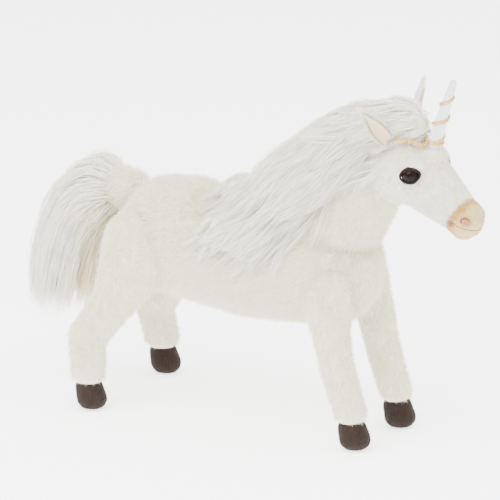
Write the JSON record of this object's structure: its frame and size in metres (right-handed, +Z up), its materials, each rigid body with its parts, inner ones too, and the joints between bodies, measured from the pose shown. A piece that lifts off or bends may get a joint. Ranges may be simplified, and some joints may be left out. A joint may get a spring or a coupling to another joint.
{
  "type": "plush unicorn",
  "caption": "Standing white plush unicorn with a long mane and tail, a satin horn with gold cord, brown velvet hooves and a bendable wire frame.",
  "frame": {"origin": "on the floor, under the centre of the bounding box", "axes": "+Z up, -Y the way the animal faces, +X its left side"},
  "size_m": [0.142, 0.4351, 0.3228],
  "materials": {
    "plush": "matte",
    "long_pile": "satin",
    "filling": "matte",
    "hoof_velvet": "matte",
    "frame_steel": "satin",
    "muzzle_velour": "matte",
    "dark_stitching": "matte",
    "eye_gloss": "gloss",
    "washer_plastic": "matte",
    "horn_satin": "satin",
    "gold_cord": "satin",
    "ear_lining": "matte"
  },
  "bodies": {
    "torso": {"torso_cover": "plush", "torso_filling": "filling", "frame_wire": "frame_steel", "mane_withers": "long_pile"},
    "neck": {"neck_cover": "plush", "neck_filling": "filling", "neck_wire": "frame_steel", "mane_neck": "long_pile"},
    "nape": {"poll_cover": "plush", "poll_filling": "filling", "poll_swivel": "frame_steel", "mane_nape": "long_pile"},
    "head": {"head_cover": "plush", "head_filling": "filling", "head_wire": "frame_steel", "muzzle_cover": "muzzle_velour", "nostrils": "dark_stitching", "mouth_seam": "dark_stitching", "eye_left": "eye_gloss", "eye_right": "eye_gloss", "eye_washers": "washer_plastic", "forelock": "long_pile", "horn_cover": "horn_satin", "horn_filling": "filling", "horn_cord": "gold_cord", "brow_cord": "gold_cord"},
    "left_ear": {"ear_left": "plush", "ear_lining_left": "ear_lining"},
    "right_ear": {"ear_right": "plush", "ear_lining_right": "ear_lining"},
    "tail_dock": {"tail_dock_cover": "plush", "tail_dock_filling": "filling", "tail_dock_wire": "frame_steel"},
    "tail": {"tail_plume": "long_pile", "tail_wire": "frame_steel"},
    "front_left_upper": {"front_left_upper_cover": "plush", "front_left_upper_filling": "filling", "front_left_upper_wire": "frame_steel"},
    "front_left_lower": {"front_left_lower_cover": "plush", "front_left_lower_filling": "filling", "front_left_hoof": "hoof_velvet"},
    "front_right_upper": {"front_right_upper_cover": "plush", "front_right_upper_filling": "filling", "front_right_upper_wire": "frame_steel"},
    "front_right_lower": {"front_right_lower_cover": "plush", "front_right_lower_filling": "filling", "front_right_hoof": "hoof_velvet"},
    "rear_left_upper": {"rear_left_upper_cover": "plush", "rear_left_upper_filling": "filling", "rear_left_upper_wire": "frame_steel"},
    "rear_left_lower": {"rear_left_lower_cover": "plush", "rear_left_lower_filling": "filling", "rear_left_hoof": "hoof_velvet"},
    "rear_right_upper": {"rear_right_upper_cover": "plush", "rear_right_upper_filling": "filling", "rear_right_upper_wire": "frame_steel"},
    "rear_right_lower": {"rear_right_lower_cover": "plush", "rear_right_lower_filling": "filling", "rear_right_hoof": "hoof_velvet"}
  },
  "joints": [
    {"name": "neck_bend", "type": "hinge", "parent": "torso", "child": "neck", "pos_m": [0, -0.07, 0.164], "axis": [1, 0, 0], "range_deg": [-10, 25]},
    {"name": "head_turn", "type": "hinge", "parent": "neck", "child": "nape", "pos_m": [0, -0.118, 0.232], "axis": [0, -0.5767, 0.817], "range_deg": [-35, 35]},
    {"name": "head_nod", "type": "hinge", "parent": "nape", "child": "head", "pos_m": [0, -0.118, 0.232], "axis": [1, 0, 0], "range_deg": [-15, 15]},
    {"name": "ear_left_flex", "type": "hinge", "parent": "head", "child": "left_ear", "pos_m": [0.019, -0.137, 0.262], "axis": [1, 0, 0], "range_deg": [-15, 15]},
    {"name": "ear_right_flex", "type": "hinge", "parent": "head", "child": "right_ear", "pos_m": [-0.019, -0.137, 0.262], "axis": [1, 0, 0], "range_deg": [-15, 15]},
    {"name": "tail_lift", "type": "hinge", "parent": "torso", "child": "tail_dock", "pos_m": [0, 0.129, 0.172], "axis": [1, 0, 0], "range_deg": [-8, 40]},
    {"name": "tail_sway", "type": "hinge", "parent": "tail_dock", "child": "tail", "pos_m": [0, 0.146, 0.181], "axis": [0, 0, 1], "range_deg": [-25, 25]},
    {"name": "front_left_shoulder", "type": "hinge", "parent": "torso", "child": "front_left_upper", "pos_m": [0.036, -0.086, 0.13], "axis": [1, 0, 0], "range_deg": [-30, 25]},
    {"name": "front_left_knee", "type": "hinge", "parent": "front_left_upper", "child": "front_left_lower", "pos_m": [0.036, -0.1, 0.066], "axis": [1, 0, 0], "range_deg": [-5, 28]},
    {"name": "front_right_shoulder", "type": "hinge", "parent": "torso", "child": "front_right_upper", "pos_m": [-0.036, -0.086, 0.13], "axis": [1, 0, 0], "range_deg": [-30, 25]},
    {"name": "front_right_knee", "type": "hinge", "parent": "front_right_upper", "child": "front_right_lower", "pos_m": [-0.036, -0.1, 0.066], "axis": [1, 0, 0], "range_deg": [-5, 28]},
    {"name": "rear_left_hip", "type": "hinge", "parent": "torso", "child": "rear_left_upper", "pos_m": [0.038, 0.096, 0.136], "axis": [1, 0, 0], "range_deg": [-25, 20]},
    {"name": "rear_left_hock", "type": "hinge", "parent": "rear_left_upper", "child": "rear_left_lower", "pos_m": [0.053, 0.134, 0.06], "axis": [1, 0, 0], "range_deg": [-15, 12]},
    {"name": "rear_right_hip", "type": "hinge", "parent": "torso", "child": "rear_right_upper", "pos_m": [-0.038, 0.096, 0.136], "axis": [1, 0, 0], "range_deg": [-25, 20]},
    {"name": "rear_right_hock", "type": "hinge", "parent": "rear_right_upper", "child": "rear_right_lower", "pos_m": [-0.053, 0.134, 0.06], "axis": [1, 0, 0], "range_deg": [-15, 12]}
  ]
}
